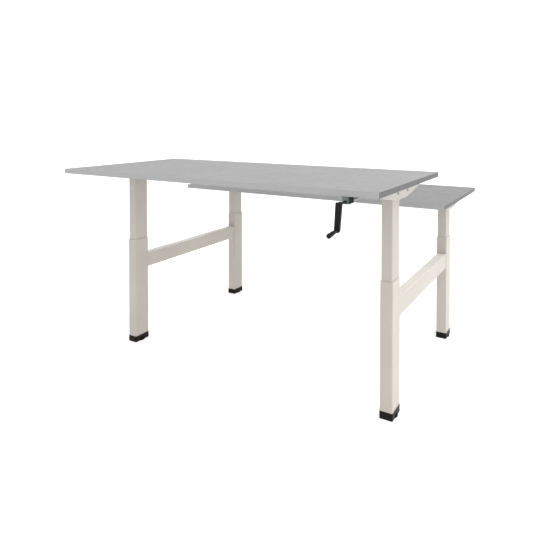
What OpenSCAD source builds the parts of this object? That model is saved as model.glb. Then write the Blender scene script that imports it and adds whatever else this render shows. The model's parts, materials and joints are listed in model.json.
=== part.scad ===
// Double sit-stand desk: two desktops face to face on one pair of H-shaped side frames,
// each desktop raised and lowered by its own hand crank.
// Frame: millimetres, +Z up, origin on the floor midway between the two desktops.
// +X runs to the right and +Y from the front desktop to the rear one.

/* [Desktops] */
// Width of each desktop, along X
top_w = 1600; // [1560:10:1800]
// Depth of each desktop, along Y
top_d = 800; // [800:10:900]
// Thickness of each desktop
top_t = 22; // [19:1:28]
// Gap between the two desktops
top_gap = 120; // [100:10:200]
// Height of the front desktop above the floor
front_h = 962; // [655:1:1045]
// Height of the rear desktop above the floor
rear_h = 788; // [655:1:1045]
// Thickness of the edge banding
band_t = 2; // [1:0.5:3]
// Lowest height of a desktop
lowest_h = 650; // [650:5:655]
// Highest height of a desktop
highest_h = 1050; // [1045:5:1050]

/* [Side frames] */
// Distance from the middle of the desk to the middle of a column, along X
leg_x = 707; // [690:1:720]
// Width of an outer column tube, along X
outer_w = 53; // [53:1:55]
// Depth of an outer column tube, along Y
outer_d = 95; // [95:1:98]
// Wall of an outer column tube
outer_wall = 1.5; // [1.2:0.1:1.5]
// Height of the outer column tubes' top ends
outer_top = 556; // [550:1:558]
// Width of the beam that joins the front and rear columns
beam_w = 46; // [36:1:48]
// Height of the beam's section
beam_h = 76; // [50:1:90]
// Height of the beam's lower face above the floor
beam_z = 391; // [200:1:400]
// Wall of the beam
beam_wall = 2; // [1.5:0.5:3]

/* [Lifting columns] */
// Width of an inner column tube, along X
inner_w = 46.5; // [45:0.5:46.5]
// Depth of an inner column tube, along Y
inner_d = 89; // [87:1:89]
// Wall of an inner column tube
inner_wall = 1.5; // [1.2:0.1:1.5]
// Gap between an inner tube and its plastic liner
liner_gap = 0.4; // [0.3:0.1:0.6]
// Length of the plastic liners
liner_l = 60; // [40:5:80]
// Radius of a lifting spindle
spindle_r = 8; // [7:0.5:9]
// Radial gap of each turning fit
running_gap = 0.06; // [0.03:0.01:0.1]

/* [Support arms] */
// Width of a support arm
arm_w = 53; // [53:0.5:54]
// Sheet thickness of the arms and of the crank bracket
sheet_t = 2; // [2:0.5:2.5]
// Depth of an arm below the desktop, at the column
arm_h = 63; // [60:1:66]
// Depth of an arm at its front tip
arm_front_tip_h = 9; // [6:1:12]
// Depth of an arm at its rear tip
arm_rear_tip_h = 31; // [20:1:40]
// Reach of an arm in front of the column's middle
arm_front = 335; // [300:5:335]
// Reach of an arm behind the column's middle
arm_rear = 335; // [300:5:335]

/* [Crank] */
// Distance from a column's middle to the crank's axis, along X
crank_inset = 32.5; // [32.5:0.5:33.5]
// Depth of the crank's axis below the desktop
drive_z = 22; // [22:0.5:23]
// Radius at which the grip goes round
crank_r = 88; // [70:1:110]
// Width of the crank arm at its shaft
crank_w = 22; // [20:1:24]
// Width of the crank arm at its grip
crank_tip_w = 20; // [18:1:20]
// Thickness of the crank arm
crank_t = 14; // [12:1:16]
// Lean of the crank arm when it is at rest
crank_lean = 4; // [0:1:20]
// Lean of the grip away from the crank's shaft
grip_lean = 7; // [0:1:10]
// Radius of the grip near its free end
grip_r = 8.6; // [7.6:0.1:9]
// Length of the grip
grip_l = 63; // [60:1:95]

/* [Feet] */
// Radius of a levelling glide
glide_r = 33; // [30:1:34]
// Height of the foot cap's top edge
cap_top = 32; // [30:1:34]
// Height of the foot cap's underside
cap_bottom = 1.5; // [1.5:0.5:3]

/* [Hidden] */
$fn = 48;

// Which desk and which side a part belongs to
FRONT = -1;
REAR = 1;
LEFT = -1;
RIGHT = 1;

TOP_GREY = [0.70, 0.70, 0.71];
FRAME_BEIGE = [0.80, 0.76, 0.71];
BLACK = [0.10, 0.10, 0.10];
STEEL = [0.62, 0.64, 0.66];
CASTING = [0.55, 0.56, 0.58];

leg_y = top_gap / 2 + top_d / 2;
outer_r = 4;
inner_r = 3;

// Heights below a desktop's underside, from the desktop down
tube_top_z = -51;
tube_bottom_z = lowest_h - top_t - 628 - 580;
head_top_z = -3;
plug_l = 24;
journal_r = 6;
cavity_floor_z = -40;
cavity_top_z = -8;

// Bevel gears: all are equal, with their pitch cones' apex where the two shafts cross
gear_out = 12.5;
gear_in = 7;
gear_gap = 0.3;
gear_teeth = 12;
slot_w = 2.2;
slot_depth = 1.8;
hub_r = 8;

// Column head and crank gearbox, measured from the column's middle
head_w = arm_w - 2 * sheet_t;
head_d = 80;
head_wall = 7;
box_split = -15;
box_inner = -52;
box_front = -20;
box_rear = 16;
box_top = -3;
box_bottom = -41;
gear_room = gear_out + 1;

crank_x = leg_x - crank_inset;
hex_af = 10;
hex_r = hex_af / 2 / cos(30);
shaft_r = 5;

// Frame screws through an arm's side, from the column's middle
head_screw_y = 14;
rail_y = 144;
frame_screw_z = -36;
frame_screw_r = 3;
rail_w = 40;
rail_h = 50;
rail_wall = 2;
rail_plate_t = 5;

// Wood screws that hold each arm to its desktop
arm_screw_y = [-290, -120, 90, 210, 320];
wood_screw_r = 2.2;
wood_screw_l = 15;
wood_screw_head_r = 4.5;
wood_screw_head_h = 2.5;

// Crank bracket under the desktop's edge, from the desktop's middle towards its user
bracket_front = -(top_d / 2 - 12);
bracket_l = 51;
bracket_h = 30;
bracket_w = 24;
flange_front_l = 10;
flange_rear_l = 15;
crank_y = -(top_d / 2 + 40);
boss_h = 1.5;
grip_start = crank_t / 2 + boss_h + 0.4;
grip_root_r = 6.6;
pin_r = 3;
pin_l = 55;

// Feet and fixed nut columns
tube_foot_z = 20;
foot_plate_z = 41;
foot_plate_t = 3;
cap_wall = 1.5;
glide_disc_h = 9;
collar_h = 1.5;
recess_top = 12;
stem_r = 5;
stem_top = 34;
nut_r = 15;
nut_z = 455;
nut_h = 30;
nut_wall = 2;

function desk_h(desk) = desk == FRONT ? front_h : rear_h;
// +1 where the crank's side is +X and its user is at -Y, which is so for the front desk
function drive_turn(desk) = desk == FRONT ? 0 : 180;
function crank_side(desk) = -desk;

// ---- Shared shapes ----

module rounded_rect(w, d, r) {
    square([w - 2 * r, d], center = true);
    square([w, d - 2 * r], center = true);
    for (sx = [-1, 1], sy = [-1, 1])
        translate([sx * (w / 2 - r), sy * (d / 2 - r)]) circle(r);
}

module rect_ring(w, d, wall, r) {
    difference() {
        rounded_rect(w, d, r);
        rounded_rect(w - 2 * wall, d - 2 * wall, max(r - wall, 0.5));
    }
}

// A YZ outline extruded along +X
module yz_extrude(length) {
    rotate([90, 0, 90]) linear_extrude(length) children();
}

// A cylinder along +X, from the origin
module x_rod(r, length) {
    rotate([0, 90, 0]) cylinder(h = length, r = r);
}

// A cylinder along +Y, from the origin
module y_rod(r, length) {
    rotate([-90, 0, 0]) cylinder(h = length, r = r);
}

// Children drawn from the middle of a desktop's underside
module at_desk(desk) {
    translate([0, desk * leg_y, desk_h(desk) - top_t]) children();
}

// The same, turned so that the crank is at +X and its user at -Y
module at_drive(desk) {
    at_desk(desk) rotate([0, 0, drive_turn(desk)]) children();
}

// Children drawn from the column's middle, with the inside of the desk at -X
module at_side(side) {
    translate([side * leg_x, 0, 0]) mirror([side == LEFT ? 1 : 0, 0, 0]) children();
}

// Children drawn at the foot of a column
module at_leg(desk, side) {
    translate([side * leg_x, desk * leg_y, 0]) children();
}

// One bevel gear below the apex, with its hub under it
module bevel_gear(hub_l, bore_r, bore_fn) {
    difference() {
        union() {
            translate([0, 0, -gear_out])
                cylinder(h = gear_out - gear_in, r1 = gear_out - gear_gap, r2 = gear_in - gear_gap);
            translate([0, 0, -gear_out - hub_l]) cylinder(h = hub_l, r = hub_r);
        }
        for (tooth = [0 : gear_teeth - 1])
            rotate([0, 0, tooth * 360 / gear_teeth])
                rotate([0, -45, 0])
                    translate([-slot_depth, -slot_w / 2, -2 * gear_out])
                        cube([2 * slot_depth, slot_w, 2 * gear_out]);
        if (bore_r > 0)
            translate([0, 0, -2 * gear_out - hub_l])
                cylinder(h = 3 * gear_out + hub_l, r = bore_r, $fn = bore_fn);
    }
}

// Where the wood screws stand, on the underside of a desktop
module wood_screw_places(desk) {
    for (side = [LEFT, RIGHT], y = arm_screw_y)
        translate([side * leg_x, y, 0]) children();
    rotate([0, 0, drive_turn(desk)])
        for (y = [bracket_front - flange_front_l / 2, bracket_front + bracket_l + flange_rear_l / 2])
            translate([crank_x, y, 0]) children();
}

// ---- Desktops ----

module top_board(desk) {
    color(TOP_GREY) at_desk(desk)
        difference() {
            linear_extrude(top_t) rounded_rect(top_w - 2 * band_t, top_d - 2 * band_t, 1);
            wood_screw_places(desk)
                translate([0, 0, -1]) cylinder(h = wood_screw_l + 1, r = wood_screw_r);
        }
}

module edge_band(desk) {
    color(TOP_GREY) at_desk(desk)
        linear_extrude(top_t) difference() {
            rounded_rect(top_w, top_d, 3);
            rounded_rect(top_w - 2 * band_t, top_d - 2 * band_t, 1);
        }
}

module top_screws(desk) {
    color(STEEL) at_desk(desk)
        wood_screw_places(desk) {
            translate([0, 0, -sheet_t]) cylinder(h = sheet_t + wood_screw_l, r = wood_screw_r);
            translate([0, 0, -sheet_t - wood_screw_head_h])
                cylinder(h = wood_screw_head_h, r = wood_screw_head_r);
        }
}

// ---- Support arms and rail ----

// Side view of an arm: deepest from the column back, tapered to both tips
module arm_outline() {
    polygon([
        [-arm_front, 0],
        [-arm_front, -arm_front_tip_h],
        [-46, 7 - arm_h],
        [-24, -arm_h],
        [135, -arm_h],
        [arm_rear, -arm_rear_tip_h],
        [arm_rear, 0]
    ]);
}

module support_arm(desk, side) {
    has_crank = side == crank_side(desk);
    inside = arm_w - 2 * sheet_t;
    color(FRAME_BEIGE) at_desk(desk) at_side(side)
        difference() {
            translate([-arm_w / 2, 0, 0]) yz_extrude(arm_w) arm_outline();
            translate([-inside / 2, -arm_front - 1, -arm_h - 1])
                cube([inside, arm_front + arm_rear + 2, arm_h + 1 - sheet_t]);
            if (has_crank)
                rotate([0, 0, drive_turn(desk)])
                    translate([drive_turn(desk) == 0 ? -arm_w / 2 - 1 : arm_w / 2 - sheet_t - 1,
                               box_front - 0.5, box_bottom - 0.5])
                        cube([sheet_t + 2, box_rear - box_front + 1, box_top - box_bottom + 1]);
            else
                translate([-arm_w / 2 - 1, 0, -drive_z]) x_rod(hub_r + 1, sheet_t + 2);
            translate([inside / 2 - 1, head_screw_y, frame_screw_z]) x_rod(frame_screw_r, sheet_t + 2);
            translate([-arm_w / 2 - 1, rail_y, frame_screw_z]) x_rod(frame_screw_r, arm_w + 2);
            for (y = arm_screw_y)
                translate([0, y, -sheet_t - 1]) cylinder(h = sheet_t + 2, r = wood_screw_r);
        }
}

module rail(desk) {
    half_l = leg_x - arm_w / 2;
    color(FRAME_BEIGE) at_desk(desk) translate([0, rail_y, frame_screw_z])
        difference() {
            union() {
                translate([-half_l, 0, 0]) yz_extrude(2 * half_l)
                    rect_ring(rail_w, rail_h, rail_wall, 3);
                for (side = [LEFT, RIGHT])
                    translate([side * (half_l - rail_plate_t / 2), 0, 0])
                        cube([rail_plate_t, rail_w - rail_wall, rail_h - rail_wall], center = true);
            }
            translate([-half_l - 1, 0, 0]) x_rod(frame_screw_r, 2 * half_l + 2);
            if (desk == REAR)
                translate([-crank_x, -rail_w, -drive_z - frame_screw_z]) y_rod(shaft_r + 2, 2 * rail_w);
        }
}

// Button-head socket screw along X: head outside at +X, shank towards -X
module socket_screw(shank_l) {
    head_r = 5.25;
    head_h = 3;
    translate([-shank_l, 0, 0]) x_rod(frame_screw_r - running_gap, shank_l);
    difference() {
        x_rod(head_r, head_h);
        translate([head_h - 2, 0, 0]) rotate([0, 90, 0]) cylinder(h = 4, r = 2.3, $fn = 6);
    }
}

module frame_screws(desk) {
    color(STEEL) at_desk(desk)
        for (side = [LEFT, RIGHT]) at_side(side) {
            translate([arm_w / 2, head_screw_y, frame_screw_z]) socket_screw(head_wall + 0.5);
            translate([arm_w / 2, rail_y, frame_screw_z]) socket_screw(arm_w + rail_plate_t);
        }
}

// ---- Lifting columns ----

module inner_tube(desk, side) {
    color(FRAME_BEIGE) at_desk(desk) translate([side * leg_x, 0, tube_bottom_z])
        linear_extrude(tube_top_z - tube_bottom_z) rect_ring(inner_w, inner_d, inner_wall, inner_r);
}

// Casting on top of an inner tube, in which the cross shaft drives the spindle
module column_head(desk, side) {
    has_crank = side == crank_side(desk);
    inner_face = has_crank ? box_split : -head_w / 2;
    cavity_inner = has_crank ? box_split + 2 : -head_w / 2 + head_wall;
    color(CASTING) at_desk(desk) at_side(side)
        difference() {
            union() {
                translate([inner_face, -head_d / 2, tube_top_z])
                    cube([head_w / 2 - inner_face, head_d, head_top_z - tube_top_z]);
                translate([0, 0, tube_top_z - plug_l]) linear_extrude(plug_l + 1)
                    rounded_rect(inner_w - 2 * inner_wall - 0.6, inner_d - 2 * inner_wall - 0.6, 1.5);
            }
            translate([cavity_inner, -head_w / 2 + head_wall, cavity_floor_z])
                cube([head_w / 2 - head_wall - cavity_inner, head_w - 2 * head_wall,
                      cavity_top_z - cavity_floor_z]);
            translate([0, 0, tube_top_z - plug_l - 1])
                cylinder(h = cavity_floor_z - tube_top_z + plug_l + 2, r = journal_r + running_gap);
            translate([-head_w / 2 - 1, 0, -drive_z])
                x_rod(hub_r + running_gap, cavity_inner + head_w / 2 + 2);
            translate([head_w / 2 - head_wall + 1.5, head_screw_y, frame_screw_z])
                x_rod(frame_screw_r, head_wall);
        }
}

// Lifting screw, which hangs in its column head and runs down through the nut
module spindle(desk, side) {
    hub_l = 5;
    shoulder_z = tube_top_z - plug_l - 0.5;
    color(STEEL) at_desk(desk) translate([side * leg_x, 0, 0]) {
        translate([0, 0, tube_bottom_z]) cylinder(h = shoulder_z - tube_bottom_z, r = spindle_r);
        translate([0, 0, shoulder_z - 1])
            cylinder(h = -drive_z - gear_out - shoulder_z + 1, r = journal_r);
        translate([0, 0, -drive_z]) bevel_gear(hub_l, 0, 0);
    }
}

// ---- Drive ----

module cross_shaft(desk) {
    half_l = leg_x - gear_in;
    color(STEEL) at_desk(desk) translate([-half_l, 0, -drive_z])
        rotate([0, 90, 0]) cylinder(h = 2 * half_l, r = hex_r, $fn = 6);
}

// The cross shaft's gears: one in each column head and one in the crank gearbox
module cross_bevels(desk) {
    long_hub = head_w / 2 - gear_out - 0.5;
    short_hub = -box_split - gear_out - 0.5;
    box_hub = crank_x - leg_x - box_inner - gear_out - 0.5;
    color(CASTING) at_drive(desk) translate([0, 0, -drive_z]) {
        translate([leg_x, 0, 0]) rotate([0, 90, 0]) bevel_gear(short_hub, hex_r, 6);
        translate([crank_x, 0, 0]) rotate([0, 90, 0]) bevel_gear(box_hub, hex_r, 6);
        translate([-leg_x, 0, 0]) rotate([0, -90, 0]) bevel_gear(long_hub, hex_r, 6);
    }
}

// Right-angle gearbox that joins the crank's shaft to the cross shaft
module crank_gearbox(desk) {
    apex = crank_x - leg_x;
    color(CASTING) at_drive(desk) translate([leg_x, 0, 0])
        difference() {
            translate([box_inner, box_front, box_bottom])
                cube([box_split - box_inner, box_rear - box_front, box_top - box_bottom]);
            translate([apex - gear_room, -gear_room, -drive_z - gear_room])
                cube([2 * gear_room, 2 * gear_room, 2 * gear_room]);
            translate([box_inner - 1, 0, -drive_z]) x_rod(hub_r + running_gap, apex - box_inner + 1);
            translate([apex, 0, -drive_z]) x_rod(hex_r + 1, box_split - apex + 1);
            translate([apex, box_front - 1, -drive_z]) y_rod(hub_r + running_gap, 1 - box_front);
        }
}

// Round bar from the crank arm to the gearbox, with its bevel gear pinned on
module crank_shaft(desk) {
    hub_l = -box_front - gear_out - 0.5;
    start = crank_y - crank_t / 2 + 4;
    color(BLACK) at_drive(desk) translate([crank_x, 0, -drive_z]) {
        translate([0, start, 0]) y_rod(shaft_r, -gear_in - start);
        rotate([-90, 0, 0]) bevel_gear(hub_l, shaft_r - 0.5, 48);
    }
}

// Bent strip screwed under the desktop, which carries the crank's bearing block
module crank_bracket(desk) {
    rear = bracket_front + bracket_l;
    color(STEEL) at_drive(desk) translate([crank_x, 0, 0])
        difference() {
            translate([-bracket_w / 2, 0, 0]) yz_extrude(bracket_w)
                difference() {
                    union() {
                        translate([bracket_front, -bracket_h + 4]) square([bracket_l, bracket_h - 4]);
                        translate([bracket_front + 4, -bracket_h]) square([bracket_l - 8, bracket_h]);
                        for (y = [bracket_front + 4, rear - 4])
                            translate([y, -bracket_h + 4]) circle(4);
                        translate([bracket_front - flange_front_l, -sheet_t])
                            square([bracket_l + flange_front_l + flange_rear_l, sheet_t]);
                    }
                    translate([bracket_front + sheet_t, -bracket_h + sheet_t])
                        square([bracket_l - 2 * sheet_t, bracket_h]);
                }
            translate([0, bracket_front - 1, -drive_z]) y_rod(shaft_r + 1.2, bracket_l + 2);
            translate([crank_inset - arm_w / 2 - 0.5, rear, -sheet_t - 1])
                cube([bracket_w, flange_rear_l + 1, sheet_t + 2]);
            for (y = [bracket_front - flange_front_l / 2, rear + flange_rear_l / 2])
                translate([0, y, -sheet_t - 1]) cylinder(h = sheet_t + 2, r = wood_screw_r);
        }
}

module crank_bush(desk) {
    bush_w = bracket_w - 4;
    color(BLACK) at_drive(desk)
        translate([crank_x, bracket_front + sheet_t, 0])
            difference() {
                translate([-bush_w / 2, 0, -bracket_h + sheet_t])
                    cube([bush_w, bracket_l - 2 * sheet_t, bracket_h - sheet_t]);
                translate([0, -1, -drive_z]) y_rod(shaft_r + running_gap, bracket_l);
            }
}

// ---- Crank ----

// Children drawn from the crank's axis in the arm's plane, leaning as the arm does
module at_crank(desk) {
    at_drive(desk) translate([crank_x, crank_y, -drive_z]) rotate([0, crank_lean, 0]) children();
}

// Children drawn where the grip's axis crosses the arm, leaning as the grip does
module at_grip() {
    translate([0, 0, -crank_r]) rotate([grip_lean, 0, 0]) children();
}

module crank_arm(desk) {
    half_w = crank_w / 2;
    tip_r = crank_tip_w / 2;
    top_z = 5.5;
    corner = 2.5;
    color(BLACK) at_crank(desk)
        difference() {
            union() {
                translate([0, crank_t / 2, 0]) rotate([90, 0, 0]) linear_extrude(crank_t) {
                    polygon([
                        [-tip_r, -crank_r],
                        [-half_w, 0],
                        [-half_w, top_z - corner],
                        [half_w, top_z - corner],
                        [half_w, 0],
                        [tip_r, -crank_r]
                    ]);
                    translate([-half_w + corner, 0]) square([crank_w - 2 * corner, top_z]);
                    for (sx = [-1, 1])
                        translate([sx * (half_w - corner), top_z - corner]) circle(corner);
                    translate([0, -crank_r]) circle(tip_r);
                }
                translate([0, crank_t / 2 - 1, 0]) y_rod(shaft_r + 3, 7);
                at_grip() translate([0, -crank_t / 2 - boss_h, 0]) y_rod(grip_root_r + 1, crank_t);
            }
            translate([0, 4 - crank_t / 2, 0]) y_rod(shaft_r + running_gap, crank_t + 10);
            at_grip() translate([0, -crank_t, 0]) y_rod(pin_r + running_gap, 2 * crank_t);
        }
}

module crank_pin(desk) {
    color(STEEL) at_crank(desk) at_grip()
        translate([0, -crank_t / 2 - pin_l, 0]) y_rod(pin_r, pin_l + crank_t - 1);
}

// Grip that thickens towards its rounded end, bored for its pin
module crank_grip(desk) {
    end_round = 4;
    bore_l = pin_l + 0.5 - (grip_start - crank_t / 2);
    color(BLACK) at_crank(desk) at_grip() translate([0, -grip_start, 0]) rotate([90, 0, 0])
        difference() {
            union() {
                cylinder(h = grip_l - end_round, r1 = grip_root_r, r2 = grip_r);
                cylinder(h = grip_l, r = grip_r - end_round);
                translate([0, 0, grip_l - end_round]) rotate_extrude() intersection() {
                    translate([grip_r - end_round, 0]) circle(end_round);
                    square([grip_r, end_round]);
                }
            }
            translate([0, 0, -1]) cylinder(h = bore_l + 1, r = pin_r + running_gap);
        }
}

// ---- Side frames ----

module outer_tube(desk, side) {
    color(FRAME_BEIGE) at_leg(desk, side) {
        translate([0, 0, tube_foot_z]) linear_extrude(outer_top - tube_foot_z)
            rect_ring(outer_w, outer_d, outer_wall, outer_r);
        translate([0, 0, foot_plate_z]) linear_extrude(foot_plate_t)
            rounded_rect(outer_w - outer_wall, outer_d - outer_wall, outer_r - outer_wall / 2);
    }
}

module beam(side) {
    half_l = leg_y - outer_d / 2;
    color(FRAME_BEIGE) translate([side * leg_x, half_l, beam_z + beam_h / 2])
        rotate([90, 0, 0]) linear_extrude(2 * half_l) rect_ring(beam_w, beam_h, beam_wall, 3);
}

module foot_cap(desk, side) {
    color(BLACK) at_leg(desk, side)
        difference() {
            translate([0, 0, cap_bottom]) linear_extrude(cap_top - cap_bottom)
                rounded_rect(outer_w + 2 * cap_wall, outer_d + 2 * cap_wall, outer_r + cap_wall);
            difference() {
                translate([0, 0, tube_foot_z]) linear_extrude(cap_top)
                    rounded_rect(outer_w, outer_d, outer_r);
                cylinder(h = stem_top, r = stem_r + 4);
            }
            translate([0, 0, -1]) cylinder(h = recess_top + 1, r = glide_r + 1);
            cylinder(h = stem_top + 1, r = stem_r + running_gap);
        }
}

module glide(desk, side) {
    edge = 2.5;
    color(BLACK) at_leg(desk, side) {
        rotate_extrude() {
            translate([0, edge]) square([glide_r, glide_disc_h - 2 * edge]);
            square([glide_r - edge, glide_disc_h]);
            for (z = [edge, glide_disc_h - edge])
                intersection() {
                    translate([glide_r - edge, z]) circle(edge);
                    translate([0, 0]) square([glide_r, glide_disc_h]);
                }
        }
        translate([0, 0, glide_disc_h - 1]) cylinder(h = collar_h + 1, r = 9, $fn = 6);
        translate([0, 0, glide_disc_h - 1]) cylinder(h = stem_top - glide_disc_h + 1, r = stem_r);
    }
}

module column_liners() {
    color(FRAME_BEIGE)
        for (desk = [FRONT, REAR], side = [LEFT, RIGHT]) at_leg(desk, side)
            translate([0, 0, outer_top - liner_l]) linear_extrude(liner_l) difference() {
                rounded_rect(outer_w - 2 * outer_wall, outer_d - 2 * outer_wall, outer_r - outer_wall);
                rounded_rect(inner_w + 2 * liner_gap, inner_d + 2 * liner_gap, inner_r + liner_gap);
            }
}

// Standing tubes inside the columns, each with the nut that its spindle climbs in
module nut_columns() {
    base_z = foot_plate_z + foot_plate_t;
    for (desk = [FRONT, REAR], side = [LEFT, RIGHT]) at_leg(desk, side) {
        color(STEEL) translate([0, 0, base_z]) linear_extrude(nut_z - base_z) difference() {
            circle(nut_r);
            circle(nut_r - nut_wall);
        }
        color(BLACK) translate([0, 0, nut_z]) linear_extrude(nut_h) difference() {
            circle(nut_r);
            circle(spindle_r + running_gap);
        }
    }
}

top_board(FRONT);  // front_top_board
edge_band(FRONT);  // front_edge_band
support_arm(FRONT, LEFT);  // front_left_arm
support_arm(FRONT, RIGHT);  // front_right_arm
rail(FRONT);  // front_rail
inner_tube(FRONT, LEFT);  // front_left_inner_tube
inner_tube(FRONT, RIGHT);  // front_right_inner_tube
column_head(FRONT, LEFT);  // front_left_head
column_head(FRONT, RIGHT);  // front_right_head
crank_gearbox(FRONT);  // front_crank_gearbox
cross_shaft(FRONT);  // front_cross_shaft
cross_bevels(FRONT);  // front_cross_bevels
spindle(FRONT, LEFT);  // front_left_spindle
spindle(FRONT, RIGHT);  // front_right_spindle
crank_shaft(FRONT);  // front_crank_shaft
crank_bracket(FRONT);  // front_crank_bracket
crank_bush(FRONT);  // front_crank_bush
crank_arm(FRONT);  // front_crank_arm
crank_grip(FRONT);  // front_crank_grip
crank_pin(FRONT);  // front_crank_pin
top_screws(FRONT);  // front_top_screws
frame_screws(FRONT);  // front_frame_screws
top_board(REAR);  // rear_top_board
edge_band(REAR);  // rear_edge_band
support_arm(REAR, LEFT);  // rear_left_arm
support_arm(REAR, RIGHT);  // rear_right_arm
rail(REAR);  // rear_rail
inner_tube(REAR, LEFT);  // rear_left_inner_tube
inner_tube(REAR, RIGHT);  // rear_right_inner_tube
column_head(REAR, LEFT);  // rear_left_head
column_head(REAR, RIGHT);  // rear_right_head
crank_gearbox(REAR);  // rear_crank_gearbox
cross_shaft(REAR);  // rear_cross_shaft
cross_bevels(REAR);  // rear_cross_bevels
spindle(REAR, LEFT);  // rear_left_spindle
spindle(REAR, RIGHT);  // rear_right_spindle
crank_shaft(REAR);  // rear_crank_shaft
crank_bracket(REAR);  // rear_crank_bracket
crank_bush(REAR);  // rear_crank_bush
crank_arm(REAR);  // rear_crank_arm
crank_grip(REAR);  // rear_crank_grip
crank_pin(REAR);  // rear_crank_pin
top_screws(REAR);  // rear_top_screws
frame_screws(REAR);  // rear_frame_screws
outer_tube(FRONT, LEFT);  // front_left_outer_tube
outer_tube(FRONT, RIGHT);  // front_right_outer_tube
outer_tube(REAR, LEFT);  // rear_left_outer_tube
outer_tube(REAR, RIGHT);  // rear_right_outer_tube
beam(LEFT);  // left_beam
beam(RIGHT);  // right_beam
foot_cap(FRONT, LEFT);  // front_left_foot_cap
foot_cap(FRONT, RIGHT);  // front_right_foot_cap
foot_cap(REAR, LEFT);  // rear_left_foot_cap
foot_cap(REAR, RIGHT);  // rear_right_foot_cap
glide(FRONT, LEFT);  // front_left_glide
glide(FRONT, RIGHT);  // front_right_glide
glide(REAR, LEFT);  // rear_left_glide
glide(REAR, RIGHT);  // rear_right_glide
column_liners();
nut_columns();
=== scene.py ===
"""Looks of the double crank desk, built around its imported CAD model. Metres, +Z up, as the CAD."""

import json
import math

import bmesh
import bpy
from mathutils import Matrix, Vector


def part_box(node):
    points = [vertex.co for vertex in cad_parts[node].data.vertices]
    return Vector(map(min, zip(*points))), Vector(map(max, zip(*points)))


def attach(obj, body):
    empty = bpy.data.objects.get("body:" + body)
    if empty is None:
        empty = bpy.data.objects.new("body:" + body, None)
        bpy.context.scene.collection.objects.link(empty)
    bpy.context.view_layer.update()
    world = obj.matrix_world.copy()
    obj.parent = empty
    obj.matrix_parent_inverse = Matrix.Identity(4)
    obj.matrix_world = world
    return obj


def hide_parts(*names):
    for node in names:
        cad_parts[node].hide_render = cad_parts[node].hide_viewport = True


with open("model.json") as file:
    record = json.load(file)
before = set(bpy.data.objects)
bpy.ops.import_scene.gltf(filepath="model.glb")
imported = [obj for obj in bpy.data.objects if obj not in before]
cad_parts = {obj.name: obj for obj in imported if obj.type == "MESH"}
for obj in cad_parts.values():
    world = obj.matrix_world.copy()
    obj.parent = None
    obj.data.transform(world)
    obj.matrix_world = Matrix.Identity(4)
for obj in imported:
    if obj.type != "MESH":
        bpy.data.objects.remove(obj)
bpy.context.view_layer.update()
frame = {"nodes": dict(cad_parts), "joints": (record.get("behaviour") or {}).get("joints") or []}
nodes = frame["nodes"]

MM = 0.001
DESKS = ("front", "rear")
SIDES = ("left", "right")

# ---------------------------------------------------------------- camera and studio

# Angles are in degrees, the lens and its sensor in millimetres, the shift is a share of the image.
CAMERA_AT = (1.3823, -2.5092, 1.2012)
CAMERA_TURN = 31.58
CAMERA_TILT = -1.14
LENS_MM = 35.031
SENSOR_MM = 36.0
LENS_SHIFT = -0.25645


def make_camera():
    data = bpy.data.cameras.new("camera")
    data.sensor_width = SENSOR_MM
    data.lens = LENS_MM
    data.shift_y = LENS_SHIFT
    data.clip_start, data.clip_end = 0.05, 100
    cam = bpy.data.objects.new("camera", data)
    cam.location = CAMERA_AT
    cam.rotation_euler = (math.radians(90 + CAMERA_TILT), 0, math.radians(CAMERA_TURN))
    bpy.context.scene.collection.objects.link(cam)
    bpy.context.scene.camera = cam


def area_light(name, at, aim, size, power):
    data = bpy.data.lights.new(name, "AREA")
    data.shape = "DISK"
    data.size = size
    data.energy = power
    lamp = bpy.data.objects.new(name, data)
    lamp.location = at
    lamp.rotation_euler = (Vector(aim) - Vector(at)).to_track_quat("-Z", "Y").to_euler()
    bpy.context.scene.collection.objects.link(lamp)


def make_studio():
    scene = bpy.context.scene
    scene.view_settings.view_transform = "Standard"
    world = bpy.data.worlds.new("studio")
    world.use_nodes = True
    background = world.node_tree.nodes["Background"]
    background.inputs["Color"].default_value = (1, 1, 1, 1)
    background.inputs["Strength"].default_value = 1.15
    scene.world = world
    centre = (0, 0, 0.5)
    area_light("key", (3.2, 0.0, 4.6), centre, 3.0, 100)
    area_light("side", (14.0, -2.3, 1.3), centre, 6.2, 500)
    bpy.ops.mesh.primitive_plane_add(size=60, location=(0, 0, 0))
    floor = bpy.context.object
    floor.name = "floor"
    floor.data.materials.append(floor_paint())


# ---------------------------------------------------------------- materials


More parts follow.
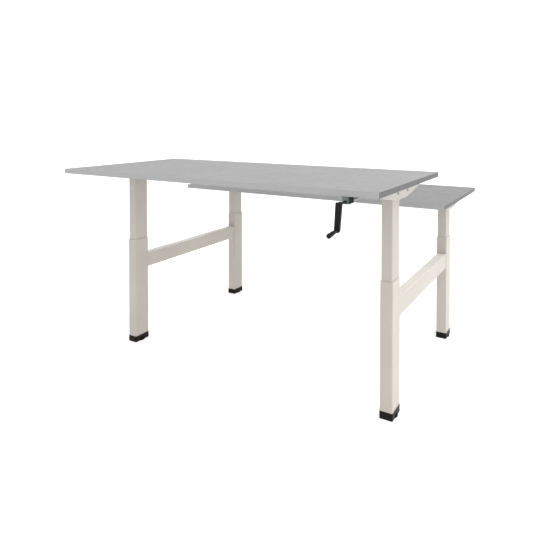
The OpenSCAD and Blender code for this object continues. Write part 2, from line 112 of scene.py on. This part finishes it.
class Shade:
    """A principled material that is put together from procedural nodes in object space."""

    def __init__(self, name):
        self.material = bpy.data.materials.new(name)
        self.material.use_nodes = True
        self.tree = self.material.node_tree
        self.shader = self.tree.nodes["Principled BSDF"]
        self.coords = self.node("ShaderNodeTexCoord").outputs["Object"]

    def node(self, kind, **settings):
        made = self.tree.nodes.new(kind)
        for key, value in settings.items():
            setattr(made, key, value)
        return made

    def link(self, source, target):
        self.tree.links.new(source, target)

    def set(self, **values):
        for key, value in values.items():
            self.shader.inputs[key.replace("_", " ")].default_value = value
        return self

    def scaled(self, stretch):
        """Object coordinates, stretched by (x, y, z)."""
        mapping = self.node("ShaderNodeMapping")
        mapping.inputs["Scale"].default_value = stretch
        self.link(self.coords, mapping.inputs["Vector"])
        return mapping.outputs["Vector"]

    def noise(self, scale, detail=3.0, rough=0.5, stretch=None):
        made = self.node("ShaderNodeTexNoise")
        made.inputs["Scale"].default_value = scale
        made.inputs["Detail"].default_value = detail
        made.inputs["Roughness"].default_value = rough
        self.link(self.scaled(stretch) if stretch else self.coords, made.inputs["Vector"])
        return made.outputs["Fac"]

    def cells(self, scale):
        made = self.node("ShaderNodeTexVoronoi")
        made.inputs["Scale"].default_value = scale
        self.link(self.coords, made.inputs["Vector"])
        return made.outputs["Color"]

    def ramp(self, value, low, high, at=(0.3, 0.7)):
        """Maps a 0 to 1 value to a number or colour between low and high."""
        made = self.node("ShaderNodeValToRGB")
        for stop, place, colour in zip(made.color_ramp.elements, at, (low, high)):
            stop.position = place
            stop.color = (*colour, 1) if isinstance(colour, tuple) else (colour, colour, colour, 1)
        self.link(value, made.inputs["Fac"])
        return made.outputs["Color"]

    def mix(self, mask, a, b, blend="MIX"):
        made = self.node("ShaderNodeMix", data_type="RGBA", blend_type=blend)
        for socket, value in ((0, mask), (6, a), (7, b)):
            if hasattr(value, "is_output"):
                self.link(value, made.inputs[socket])
            else:
                whole = (*value, 1) if isinstance(value, tuple) else value
                made.inputs[socket].default_value = whole
        return made.outputs[2]

    def math(self, kind, a, b=0.0):
        made = self.node("ShaderNodeMath", operation=kind)
        for socket, value in ((0, a), (1, b)):
            if hasattr(value, "is_output"):
                self.link(value, made.inputs[socket])
            else:
                made.inputs[socket].default_value = value
        return made.outputs[0]

    def edges(self, radius):
        """A mask that is 1 along sharp edges, where a coat wears thin."""
        bevel = self.node("ShaderNodeBevel", samples=4)
        bevel.inputs["Radius"].default_value = radius
        geometry = self.node("ShaderNodeNewGeometry")
        dot = self.node("ShaderNodeVectorMath", operation="DOT_PRODUCT")
        self.link(bevel.outputs["Normal"], dot.inputs[0])
        self.link(geometry.outputs["Normal"], dot.inputs[1])
        spread = self.node("ShaderNodeMapRange")
        spread.inputs["From Min"].default_value = 0.98
        spread.inputs["From Max"].default_value = 0.80
        self.link(dot.outputs["Value"], spread.inputs["Value"])
        return spread.outputs["Result"]

    def facing(self, axis):
        """1 on faces that look along the X, Y or Z axis (0, 1 or 2), either way."""
        geometry = self.node("ShaderNodeNewGeometry")
        split = self.node("ShaderNodeSeparateXYZ")
        self.link(geometry.outputs["True Normal"], split.inputs[0])
        return self.math("GREATER_THAN", self.math("ABSOLUTE", split.outputs[axis]), 0.8)

    def colour(self, socket):
        self.link(socket, self.shader.inputs["Base Color"])
        return self

    def roughness(self, socket):
        self.link(socket, self.shader.inputs["Roughness"])
        return self

    def bump(self, *layers):
        """Each layer is (height socket, depth in metres)."""
        normal = None
        for height, depth in layers:
            made = self.node("ShaderNodeBump")
            made.inputs["Strength"].default_value = 1.0
            made.inputs["Distance"].default_value = depth
            self.link(height, made.inputs["Height"])
            if normal is not None:
                self.link(normal, made.inputs["Normal"])
            normal = made.outputs["Normal"]
        self.link(normal, self.shader.inputs["Normal"])
        return self


def floor_paint():
    """White sweep that is lit from below as well, so that the desk hardly shades it."""
    shade = Shade("floor_paint").set(Roughness=0.9, Specular_IOR_Level=0.2)
    shade.set(Emission_Color=(1, 1, 1, 1), Emission_Strength=0.55)
    shade.colour(shade.ramp(shade.noise(0.6, 2), 0.77, 0.79))
    return shade.material


def laminate(name="laminate", tone=1.0):
    """Grey melamine: a fine pearl texture, almost matt. tone lightens or darkens it; the rear board's tone
    is painted shade.
    """
    shade = Shade(name).set(Specular_IOR_Level=0.3)
    fine = shade.noise(900, 2, 0.6)
    cloud = shade.noise(3.5, 4, 0.55)
    base = shade.mix(shade.ramp(cloud, 0.0, 1.0), (0.252, 0.252, 0.254), (0.269, 0.269, 0.271))
    speck = shade.ramp(fine, 0.96 * tone, 1.03 * tone)
    shade.colour(shade.mix(1.0, base, speck, "MULTIPLY"))
    shade.roughness(shade.ramp(shade.noise(40, 5), 0.48, 0.60))
    return shade.bump((fine, 0.00004), (shade.noise(260, 2), 0.00003)).material


def edge_band():
    """ABS edging: the long edges as the top, the short ones at the ends painted much darker, as painted
    shade.
    """
    shade = Shade("edge_band").set(Specular_IOR_Level=0.4)
    fine = shade.noise(700, 2, 0.6, (1, 1, 0.25))
    long_edge = shade.ramp(fine, (0.290, 0.291, 0.294), (0.315, 0.316, 0.319))
    # Painted shade: the short edges, that look along X, get a dark copy of the edging's colour.
    short_edge_painted_shade = shade.ramp(fine, (0.058, 0.058, 0.059), (0.070, 0.070, 0.071))
    body = shade.mix(shade.facing(0), long_edge, short_edge_painted_shade)
    shade.colour(shade.mix(shade.edges(0.0008), body, (0.40, 0.40, 0.41)))
    shade.roughness(shade.ramp(shade.noise(120, 3), 0.42, 0.55))
    return shade.bump((fine, 0.00003)).material


def powder_coat(name="frame_paint", lit_tops=False, rub_and_side_shade=None):
    """Warm light grey powder coat: orange peel and paler worn edges.

    faded paints the faces that look up paler, a painted highlight of light from above. rubbed adds the
    liners' slide marks, and paints the wide sides darker by that share, as painted shade.
    """
    shade = Shade(name).set(Specular_IOR_Level=0.45)
    cloud = shade.noise(6, 4, 0.55)
    base = shade.ramp(cloud, (0.390, 0.360, 0.320), (0.415, 0.383, 0.341))
    speck = shade.ramp(shade.noise(1400, 1), 0.97, 1.02)
    body = shade.mix(1.0, base, speck, "MULTIPLY")
    rough = shade.ramp(shade.noise(90, 4), 0.40, 0.52)
    if lit_tops:
        # Painted highlight: the faces that look up get a paler copy of the coat, as if lit from above.
        body = shade.mix(shade.facing(2), body, (0.74, 0.70, 0.64))
    if rub_and_side_shade is not None:
        # Painted shade: the wide sides, that look along X, are darkened by the rubbed share; the streaks
        # below are slide marks.
        body = shade.mix(shade.math("MULTIPLY", shade.facing(0), rub_and_side_shade), body, (0.26, 0.24, 0.21))
        streak = shade.ramp(shade.noise(160, 3, 0.6, (1, 1, 0.006)), 0.0, 1.0, (0.52, 0.72))
        body = shade.mix(shade.math("MULTIPLY", streak, 0.5), body, (0.35, 0.33, 0.30))
        rough = shade.mix(shade.math("MULTIPLY", streak, 0.5), rough, (0.30, 0.30, 0.30))
    shade.colour(shade.mix(shade.math("MULTIPLY", shade.edges(0.0007), 0.45), body, (0.50, 0.475, 0.44)))
    shade.roughness(rough)
    return shade.bump((shade.noise(420, 2, 0.45), 0.00007), (shade.noise(1600, 1), 0.00002)).material


def moulded_plastic(name, tone, worn, gloss):
    """Moulded plastic with a spark-eroded grain, and scuffed edges in the colour worn."""
    shade = Shade(name).set(Specular_IOR_Level=gloss)
    grain = shade.noise(1100, 2, 0.6)
    scuff = shade.ramp(shade.noise(35, 6, 0.7), 0.0, 1.0, (0.55, 0.80))
    body = shade.mix(shade.math("MULTIPLY", scuff, 0.35), tone, worn)
    shade.colour(shade.mix(shade.math("MULTIPLY", shade.edges(0.0006), 0.6), body, worn))
    shade.roughness(shade.ramp(shade.noise(150, 4), 0.40, 0.55))
    return shade.bump((grain, 0.00005)).material


def drawn_steel():
    """Bright bar: fine lines, faint oil stains."""
    shade = Shade("steel").set(Metallic=1.0)
    stain = shade.noise(25, 5, 0.6)
    shade.colour(shade.ramp(stain, (0.50, 0.50, 0.51), (0.62, 0.62, 0.63)))
    line = shade.noise(1800, 2, 0.5, (0.02, 1, 1))
    shade.roughness(shade.ramp(line, 0.24, 0.42))
    return shade.bump((line, 0.00002)).material


def gear_steel():
    """Sintered gear steel: dark, pitted."""
    shade = Shade("gear_steel").set(Metallic=1.0)
    pit = shade.noise(900, 4, 0.7)
    shade.colour(shade.ramp(pit, (0.28, 0.28, 0.29), (0.42, 0.41, 0.40)))
    shade.roughness(shade.ramp(pit, 0.45, 0.62))
    return shade.bump((pit, 0.00006)).material


def die_casting():
    """Die-cast aluminium: satin skin with flow marks and a grainy bump."""
    shade = Shade("casting").set(Metallic=0.85)
    flow = shade.noise(18, 5, 0.6, (1, 1, 2.5))
    body = shade.ramp(flow, (0.40, 0.41, 0.43), (0.52, 0.53, 0.55))
    shade.colour(shade.mix(shade.edges(0.0008), body, (0.72, 0.72, 0.74)))
    shade.roughness(shade.ramp(shade.noise(200, 4), 0.38, 0.56))
    return shade.bump((shade.noise(650, 3, 0.6), 0.00008)).material


def zinc_plate(name="galvanised", tone=1.0):
    """Blue-grey zinc: large dull crystals."""
    shade = Shade(name).set(Metallic=0.55)
    crystal = shade.ramp(shade.cells(140), 0.86 * tone, 1.10 * tone, (0.1, 0.9))
    cloud = shade.ramp(shade.noise(30, 4), (0.130, 0.155, 0.160), (0.170, 0.195, 0.200))
    shade.colour(shade.mix(1.0, cloud, crystal, "MULTIPLY"))
    shade.roughness(shade.ramp(shade.cells(140), 0.34, 0.52, (0.1, 0.9)))
    return shade.bump((shade.noise(500, 3), 0.00004)).material


def black_oxide(black_from):
    """Blackened bar that is dull bare steel where it is nearer Y = 0 than black_from."""
    shade = Shade("blackened_steel").set(Metallic=0.7)
    split = shade.node("ShaderNodeSeparateXYZ")
    shade.link(shade.coords, split.inputs[0])
    outer = shade.math("GREATER_THAN", shade.math("ABSOLUTE", split.outputs[1]), black_from)
    dark = shade.ramp(shade.noise(400, 3), (0.018, 0.018, 0.020), (0.035, 0.034, 0.034))
    bare = shade.ramp(shade.noise(25, 5), (0.24, 0.24, 0.245), (0.32, 0.32, 0.325))
    body = shade.mix(outer, bare, dark)
    shade.colour(shade.mix(shade.math("MULTIPLY", shade.edges(0.0004), 0.5), body, (0.20, 0.19, 0.18)))
    shade.roughness(shade.ramp(shade.noise(250, 3), 0.35, 0.50))
    return shade.bump((shade.noise(900, 2), 0.00003)).material


# ---------------------------------------------------------------- mesh helpers


def to_object(name, bm):
    bmesh.ops.recalc_face_normals(bm, faces=bm.faces)
    mesh = bpy.data.meshes.new(name)
    bm.to_mesh(mesh)
    bm.free()
    made = bpy.data.objects.new(name, mesh)
    bpy.context.scene.collection.objects.link(made)
    return made


def loft(bm, loops, ring=False):
    """Skins a run of equally long closed loops.

    ring joins the last loop to the first. Without it both ends are capped.
    """
    rows = [[bm.verts.new(p) for p in loop] for loop in loops]
    count = len(rows[0])
    pairs = list(zip(rows, rows[1:])) + ([(rows[-1], rows[0])] if ring else [])
    for a, b in pairs:
        for i in range(count):
            j = (i + 1) % count
            bm.faces.new((a[i], a[j], b[j], b[i]))
    if not ring:
        bm.faces.new(rows[0][::-1])
        bm.faces.new(rows[-1])


CORNER_STEPS = 8


def rounded_rect(centre, width, depth, radius, z):
    """A loop of 4 x CORNER_STEPS points round a rectangle with rounded corners."""
    points = []
    for corner, (sx, sy) in enumerate(((1, 1), (-1, 1), (-1, -1), (1, -1))):
        for step in range(CORNER_STEPS):
            angle = math.radians(90 * (corner + step / (CORNER_STEPS - 1)))
            x = centre[0] + sx * (width / 2 - radius) + radius * math.cos(angle)
            y = centre[1] + sy * (depth / 2 - radius) + radius * math.sin(angle)
            points.append(Vector((x, y, z)))
    return points


def turned(bm, profile, place, count=48):
    """Spins a profile of (radius, height) points; place maps (x, y, height) to a point in space."""
    rows = []
    for radius, height in profile:
        if radius == 0:
            rows.append([bm.verts.new(place(0, 0, height))])
            continue
        angles = [2 * math.pi * i / count for i in range(count)]
        points = [(radius * math.cos(a), radius * math.sin(a), height) for a in angles]
        rows.append([bm.verts.new(place(*point)) for point in points])
    for a, b in zip(rows, rows[1:]):
        for i in range(count):
            j = (i + 1) % count
            corner = (a[i % len(a)], a[j % len(a)], b[j % len(b)], b[i % len(b)])
            distinct = list(dict.fromkeys(corner))
            bm.faces.new(distinct)


def arc(centre, radius, start, end, steps=5):
    """Points of an arc in a profile, angles in degrees."""
    angles = [math.radians(start + (end - start) * i / steps) for i in range(steps + 1)]
    return [(centre[0] + radius * math.cos(a), centre[1] + radius * math.sin(a)) for a in angles]


def smooth(made, angle=40):
    for polygon in made.data.polygons:
        polygon.use_smooth = True
    made.data.set_sharp_from_angle(angle=math.radians(angle))


def dress(made, material):
    made.data.materials.clear()
    made.data.materials.append(material)


def add_piece(made, body, material, replaced=None):
    smooth(made)
    dress(made, material)
    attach(made, body)
    if replaced:
        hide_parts(replaced)


# ---------------------------------------------------------------- CAD nodes


def soften(made, radius):
    """Breaks the sharp edges of a CAD node: its triangles are joined into flat faces, then bevelled."""
    weld = made.modifiers.new("weld", "WELD")
    weld.merge_threshold = 1e-6
    flat = made.modifiers.new("flat", "DECIMATE")
    flat.decimate_type = "DISSOLVE"
    flat.angle_limit = math.radians(0.3)
    bevel = made.modifiers.new("bevel", "BEVEL")
    bevel.width = radius
    bevel.segments = 3
    bevel.limit_method = "ANGLE"
    bevel.angle_limit = math.radians(35)
    normals = made.modifiers.new("normals", "WEIGHTED_NORMAL")
    normals.keep_sharp = True


def dress_cad_nodes(looks):
    """Gives each CAD node its material, by the end of its name, and the listed ones a fine edge radius."""
    edge_radius = {"edge_band": 0.8, "outer_tube": 0.35, "inner_tube": 0.3, "left_arm": 0.4,
                   "right_arm": 0.4, "crank_bracket": 0.4, "crank_bush": 0.6, "foot_cap": 1.0,
                   "left_head": 0.8, "right_head": 0.8, "crank_gearbox": 0.8}
    for name, made in nodes.items():
        ending = max((e for e in looks if name.endswith(e)), key=len)
        dress(made, looks[ending])
        for ending, radius in edge_radius.items():
            if name.endswith(ending):
                soften(made, radius * MM)


# ---------------------------------------------------------------- refined pieces


def glide(desk, side, material):
    """Levelling glide: a round disc with a soft rim, a collar to turn it by and a threaded stem."""
    node = f"{desk}_{side}_glide"
    low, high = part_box(node)
    x, y = (low.x + high.x) / 2, (low.y + high.y) / 2
    r = (high.x - low.x) / 2 / MM
    top = (high.z - low.z) / MM
    stem, pitch = 4.9, 1.5
    profile = [(0, 0.6), (r - 9, 0.6), (r - 8, 0), (r - 3.5, 0)] + arc((r - 2.5, 2.5), 2.5, -75, 0)
    profile += arc((r - 3, 6), 3, 0, 80) + [(r - 8, 8.7), (r - 8.5, 8.3), (12, 8.3), (11.5, 9), (9, 9)]
    profile += [(8.8, 10.2), (8.4, 10.5), (stem, 10.5)]
    z = 11.2
    while z < top - 2 * pitch:
        profile += [(stem, z), (stem - 0.6, z + pitch / 2)]
        z += pitch
    profile += [(stem, top - 1), (stem - 1, top), (0, top)]
    bm = bmesh.new()
    turned(bm, profile, lambda a, b, h: Vector((x + a * MM, y + b * MM, low.z + h * MM)), 72)
    add_piece(to_object(f"{node}_foot", bm), f"{desk}_{side}_foot", material, node)


def weld_bead(side, end, material):
    """A painted fillet weld round the beam where it meets a column: small overlapping ripples."""
    low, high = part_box(f"{side}_beam")
    y = high.y if end == "rear" else low.y
    away = -1 if end == "rear" else 1
    centre = ((low.x + high.x) / 2, (low.z + high.z) / 2)
    beam_corner, spacing, steps = 3 * MM, 1.1 * MM, 4
    path = rounded_rect(centre, high.x - low.x, high.z - low.z, beam_corner, 0)
    dense = []
    for a, b in zip(path, path[1:] + path[:1]):
        count = max(1, round((b - a).length / spacing))
        dense += [a.lerp(b, i / count) for i in range(count)]
    loops = []
    total = len(dense)
    for i, point in enumerate(dense):
        along = (dense[(i + 1) % total] - dense[i - 1]).normalized()
        out = Vector((along.y, -along.x, 0))
        size = (2.0 + 0.35 * math.sin(i * 1.9) + 0.15 * math.sin(i * 0.37)) * MM
        loop = [point - out * 0.3 * MM + Vector((0, 0, -0.3 * MM))]
        for k in range(steps + 1):
            angle = math.radians(90 * k / steps)
            bulge = size * (1 - 0.22 * math.sin(2 * angle))
            loop.append(point + out * bulge * math.cos(angle) + Vector((0, 0, bulge * math.sin(angle))))
        loops.append([Vector((p.x, y + away * p.z, p.y)) for p in loop])
    bm = bmesh.new()
    loft(bm, loops, ring=True)
    add_piece(to_object(f"{side}_beam_{end}_weld", bm), "base", material)


class Crank:
    """Where a desk's crank is at rest. Its points are in mm from the middle of the arm's thickness."""

    def __init__(self, desk):
        joints = {j["name"]: j for j in frame["joints"]}
        turn, spin = joints[f"{desk}_crank_turn"], joints[f"{desk}_grip_spin"]
        self.hub = Vector(turn["pos_m"])
        self.inward = Vector(turn["axis"])
        self.along = -Vector(spin["axis"]).normalized()
        seat = Vector(spin["pos_m"])
        self.seat = seat + self.along * (self.hub.y - seat.y) / self.along.y
        self.up = (self.hub - self.seat).normalized()
        self.reach = (self.hub - self.seat).length / MM
        self.across = self.inward.cross(self.up)
        self.aside = self.along.cross(self.across)

    def on_arm(self, x, z, depth):
        """x across the arm, z up it from the hub, depth towards the desk."""
        return self.hub + (self.across * x + self.up * z + self.inward * depth) * MM

    def on_grip(self, x, y, out):
        """x, y round the grip's axis, out along it."""
        return self.seat + (self.across * x + self.aside * y + self.along * out) * MM


def crank_arm(desk, material):
    """Moulded arm: tapered, with rounded edges, a shallow panel, a hub behind and a seat for the grip."""
    crank = Crank(desk)
    half, tip, top, thick = 11.0, 10.0, 5.5, 7.0

    def outline(inset, depth):
        wide, narrow, corner = half - inset, tip - inset, max(2.5 - inset, 0.5)
        points = [(narrow * math.cos(a), -crank.reach + narrow * math.sin(a)) for a in
                  (math.radians(180 + 180 * i / 16) for i in range(17))]
        points.append((wide, 0))
        for sx, start in ((1, 0), (-1, 90)):
            for i in range(6):
                a = math.radians(start + 90 * i / 5)
                points.append((sx * (wide - corner) + corner * math.cos(a),
                               top - inset - corner + corner * math.sin(a)))
        points.append((-wide, 0))
        return [crank.on_arm(x, z, depth) for x, z in points]

    front = -thick
    loops = [outline(4.0, front + 0.9), outline(3.7, front + 0.8), outline(3.2, front + 0.1),
             outline(2.8, front), outline(1.7, front), outline(0.9, front + 0.2),
             outline(0.3, front + 0.75), outline(0.0, front + 1.7), outline(0.0, thick - 1.5),
             outline(0.3, thick - 0.6), outline(0.9, thick - 0.1), outline(1.6, thick)]
    bm = bmesh.new()
    loft(bm, loops)
    turned(bm, [(0, 6), (8, 6), (8, 12.4), (7.4, 13), (0, 13)], lambda a, b, h: crank.on_arm(a, b, h))
    turned(bm, [(0, 5.6), (4.6, 5.6), (4.6, 6.5), (4.2, 6.85), (0, 7)],
           lambda a, b, h: crank.on_arm(a, b, -h))
    turned(bm, [(0, 4), (7.6, 4), (7.6, 8.0), (7.1, 8.5), (0, 8.5)], crank.on_grip)
    node = f"{desk}_crank_arm"
    add_piece(to_object(f"{node}_moulding", bm), f"{desk}_crank", material, node)


def crank_grip(desk, material):
    """Grip: a collar and a groove at the arm, thicker towards its domed end, bored for its pin."""
    crank = Crank(desk)
    start, length, root, end = 8.9, 63.0, 6.6, 8.6
    bore, bore_end = 3.1, length - 9
    profile = [(0, bore_end), (bore, bore_end), (bore, 0), (root - 0.7, 0)]
    profile += arc((root - 0.7, 0.7), 0.7, -60, 0, 3) + [(root, 2.8), (root - 0.5, 3.4), (root - 0.5, 4.2)]
    swell = [i / 12 for i in range(13)]
    profile += [(root - 0.2 + (end - root + 0.2) * math.sin(math.pi / 2 * t) ** 1.5,
                 5 + (length - 15) * t) for t in swell]
    profile += arc((end - 5, length - 5), 5, 0, 78, 7)
    profile += [(1.7, length), (1.4, length - 0.5), (0, length - 0.5)]
    bm = bmesh.new()
    turned(bm, profile, lambda a, b, h: crank.on_grip(a, b, start + h), 40)
    node = f"{desk}_crank_grip"
    add_piece(to_object(f"{node}_moulding", bm), f"{desk}_grip", material, node)


# ---------------------------------------------------------------- the desk


def build():
    paint = powder_coat()
    # The outer tubes and beams carry a painted highlight on the faces that look up.
    lit_top_paint = powder_coat("lit_top_paint", lit_tops=True)
    # The right inner tubes' wide sides are painted darker as painted shade; the left ones only get the
    # slide marks.
    right_slide_paint_shaded = powder_coat("right_inner_tube_paint_shaded", rub_and_side_shade=0.35)
    left_slide_paint = powder_coat("left_inner_tube_paint", rub_and_side_shade=0.0)
    black = moulded_plastic("black_plastic", (0.006, 0.005, 0.004), (0.020, 0.018, 0.016), 0.10)
    crank_black = moulded_plastic("crank_plastic", (0.006, 0.006, 0.005), (0.022, 0.021, 0.019), 0.13)
    # The liners' beige plastic is painted paler than it is: painted light that lifts the desktop's shade
    # at the column mouths.
    liner = moulded_plastic("liner_plastic", (0.64, 0.60, 0.54), (0.70, 0.66, 0.60), 0.3)
    bush_black = moulded_plastic("bush_plastic", (0.004, 0.004, 0.004), (0.010, 0.010, 0.010), 0.06)
    steel = drawn_steel()
    casting = die_casting()
    zinc = zinc_plate()
    screw_zinc = zinc_plate("screw_zinc", 2.0)
    blackened_end = 40 * MM
    shaft = black_oxide(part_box("rear_crank_bracket")[1].y - blackened_end)
    dress_cad_nodes({
        # The rear board is the same laminate as the front one, painted darker by tone 0.78 as painted
        # shade.
        "front_top_board": laminate(), "rear_top_board": laminate("rear_laminate_shaded", 0.78),
        "edge_band": edge_band(), "left_arm": paint, "right_arm": paint, "rail": paint,
        "outer_tube": lit_top_paint, "beam": lit_top_paint, "left_inner_tube": left_slide_paint,
        "right_inner_tube": right_slide_paint_shaded, "head": casting, "crank_gearbox": casting,
        "cross_shaft": steel, "spindle": steel, "crank_shaft": shaft,
        "crank_pin": steel, "top_screws": zinc, "nut_columns": steel, "cross_bevels": gear_steel(),
        "crank_bracket": zinc, "frame_screws": screw_zinc, "crank_bush": bush_black,
        "foot_cap": black, "glide": black, "column_liners": liner, "crank_arm": crank_black,
        "crank_grip": crank_black,
    })
    for desk in DESKS:
        crank_arm(desk, crank_black)
        crank_grip(desk, crank_black)
        for side in SIDES:
            glide(desk, side, black)
    for side in SIDES:
        for end in DESKS:
            weld_bead(side, end, paint)


make_camera()
make_studio()
build()
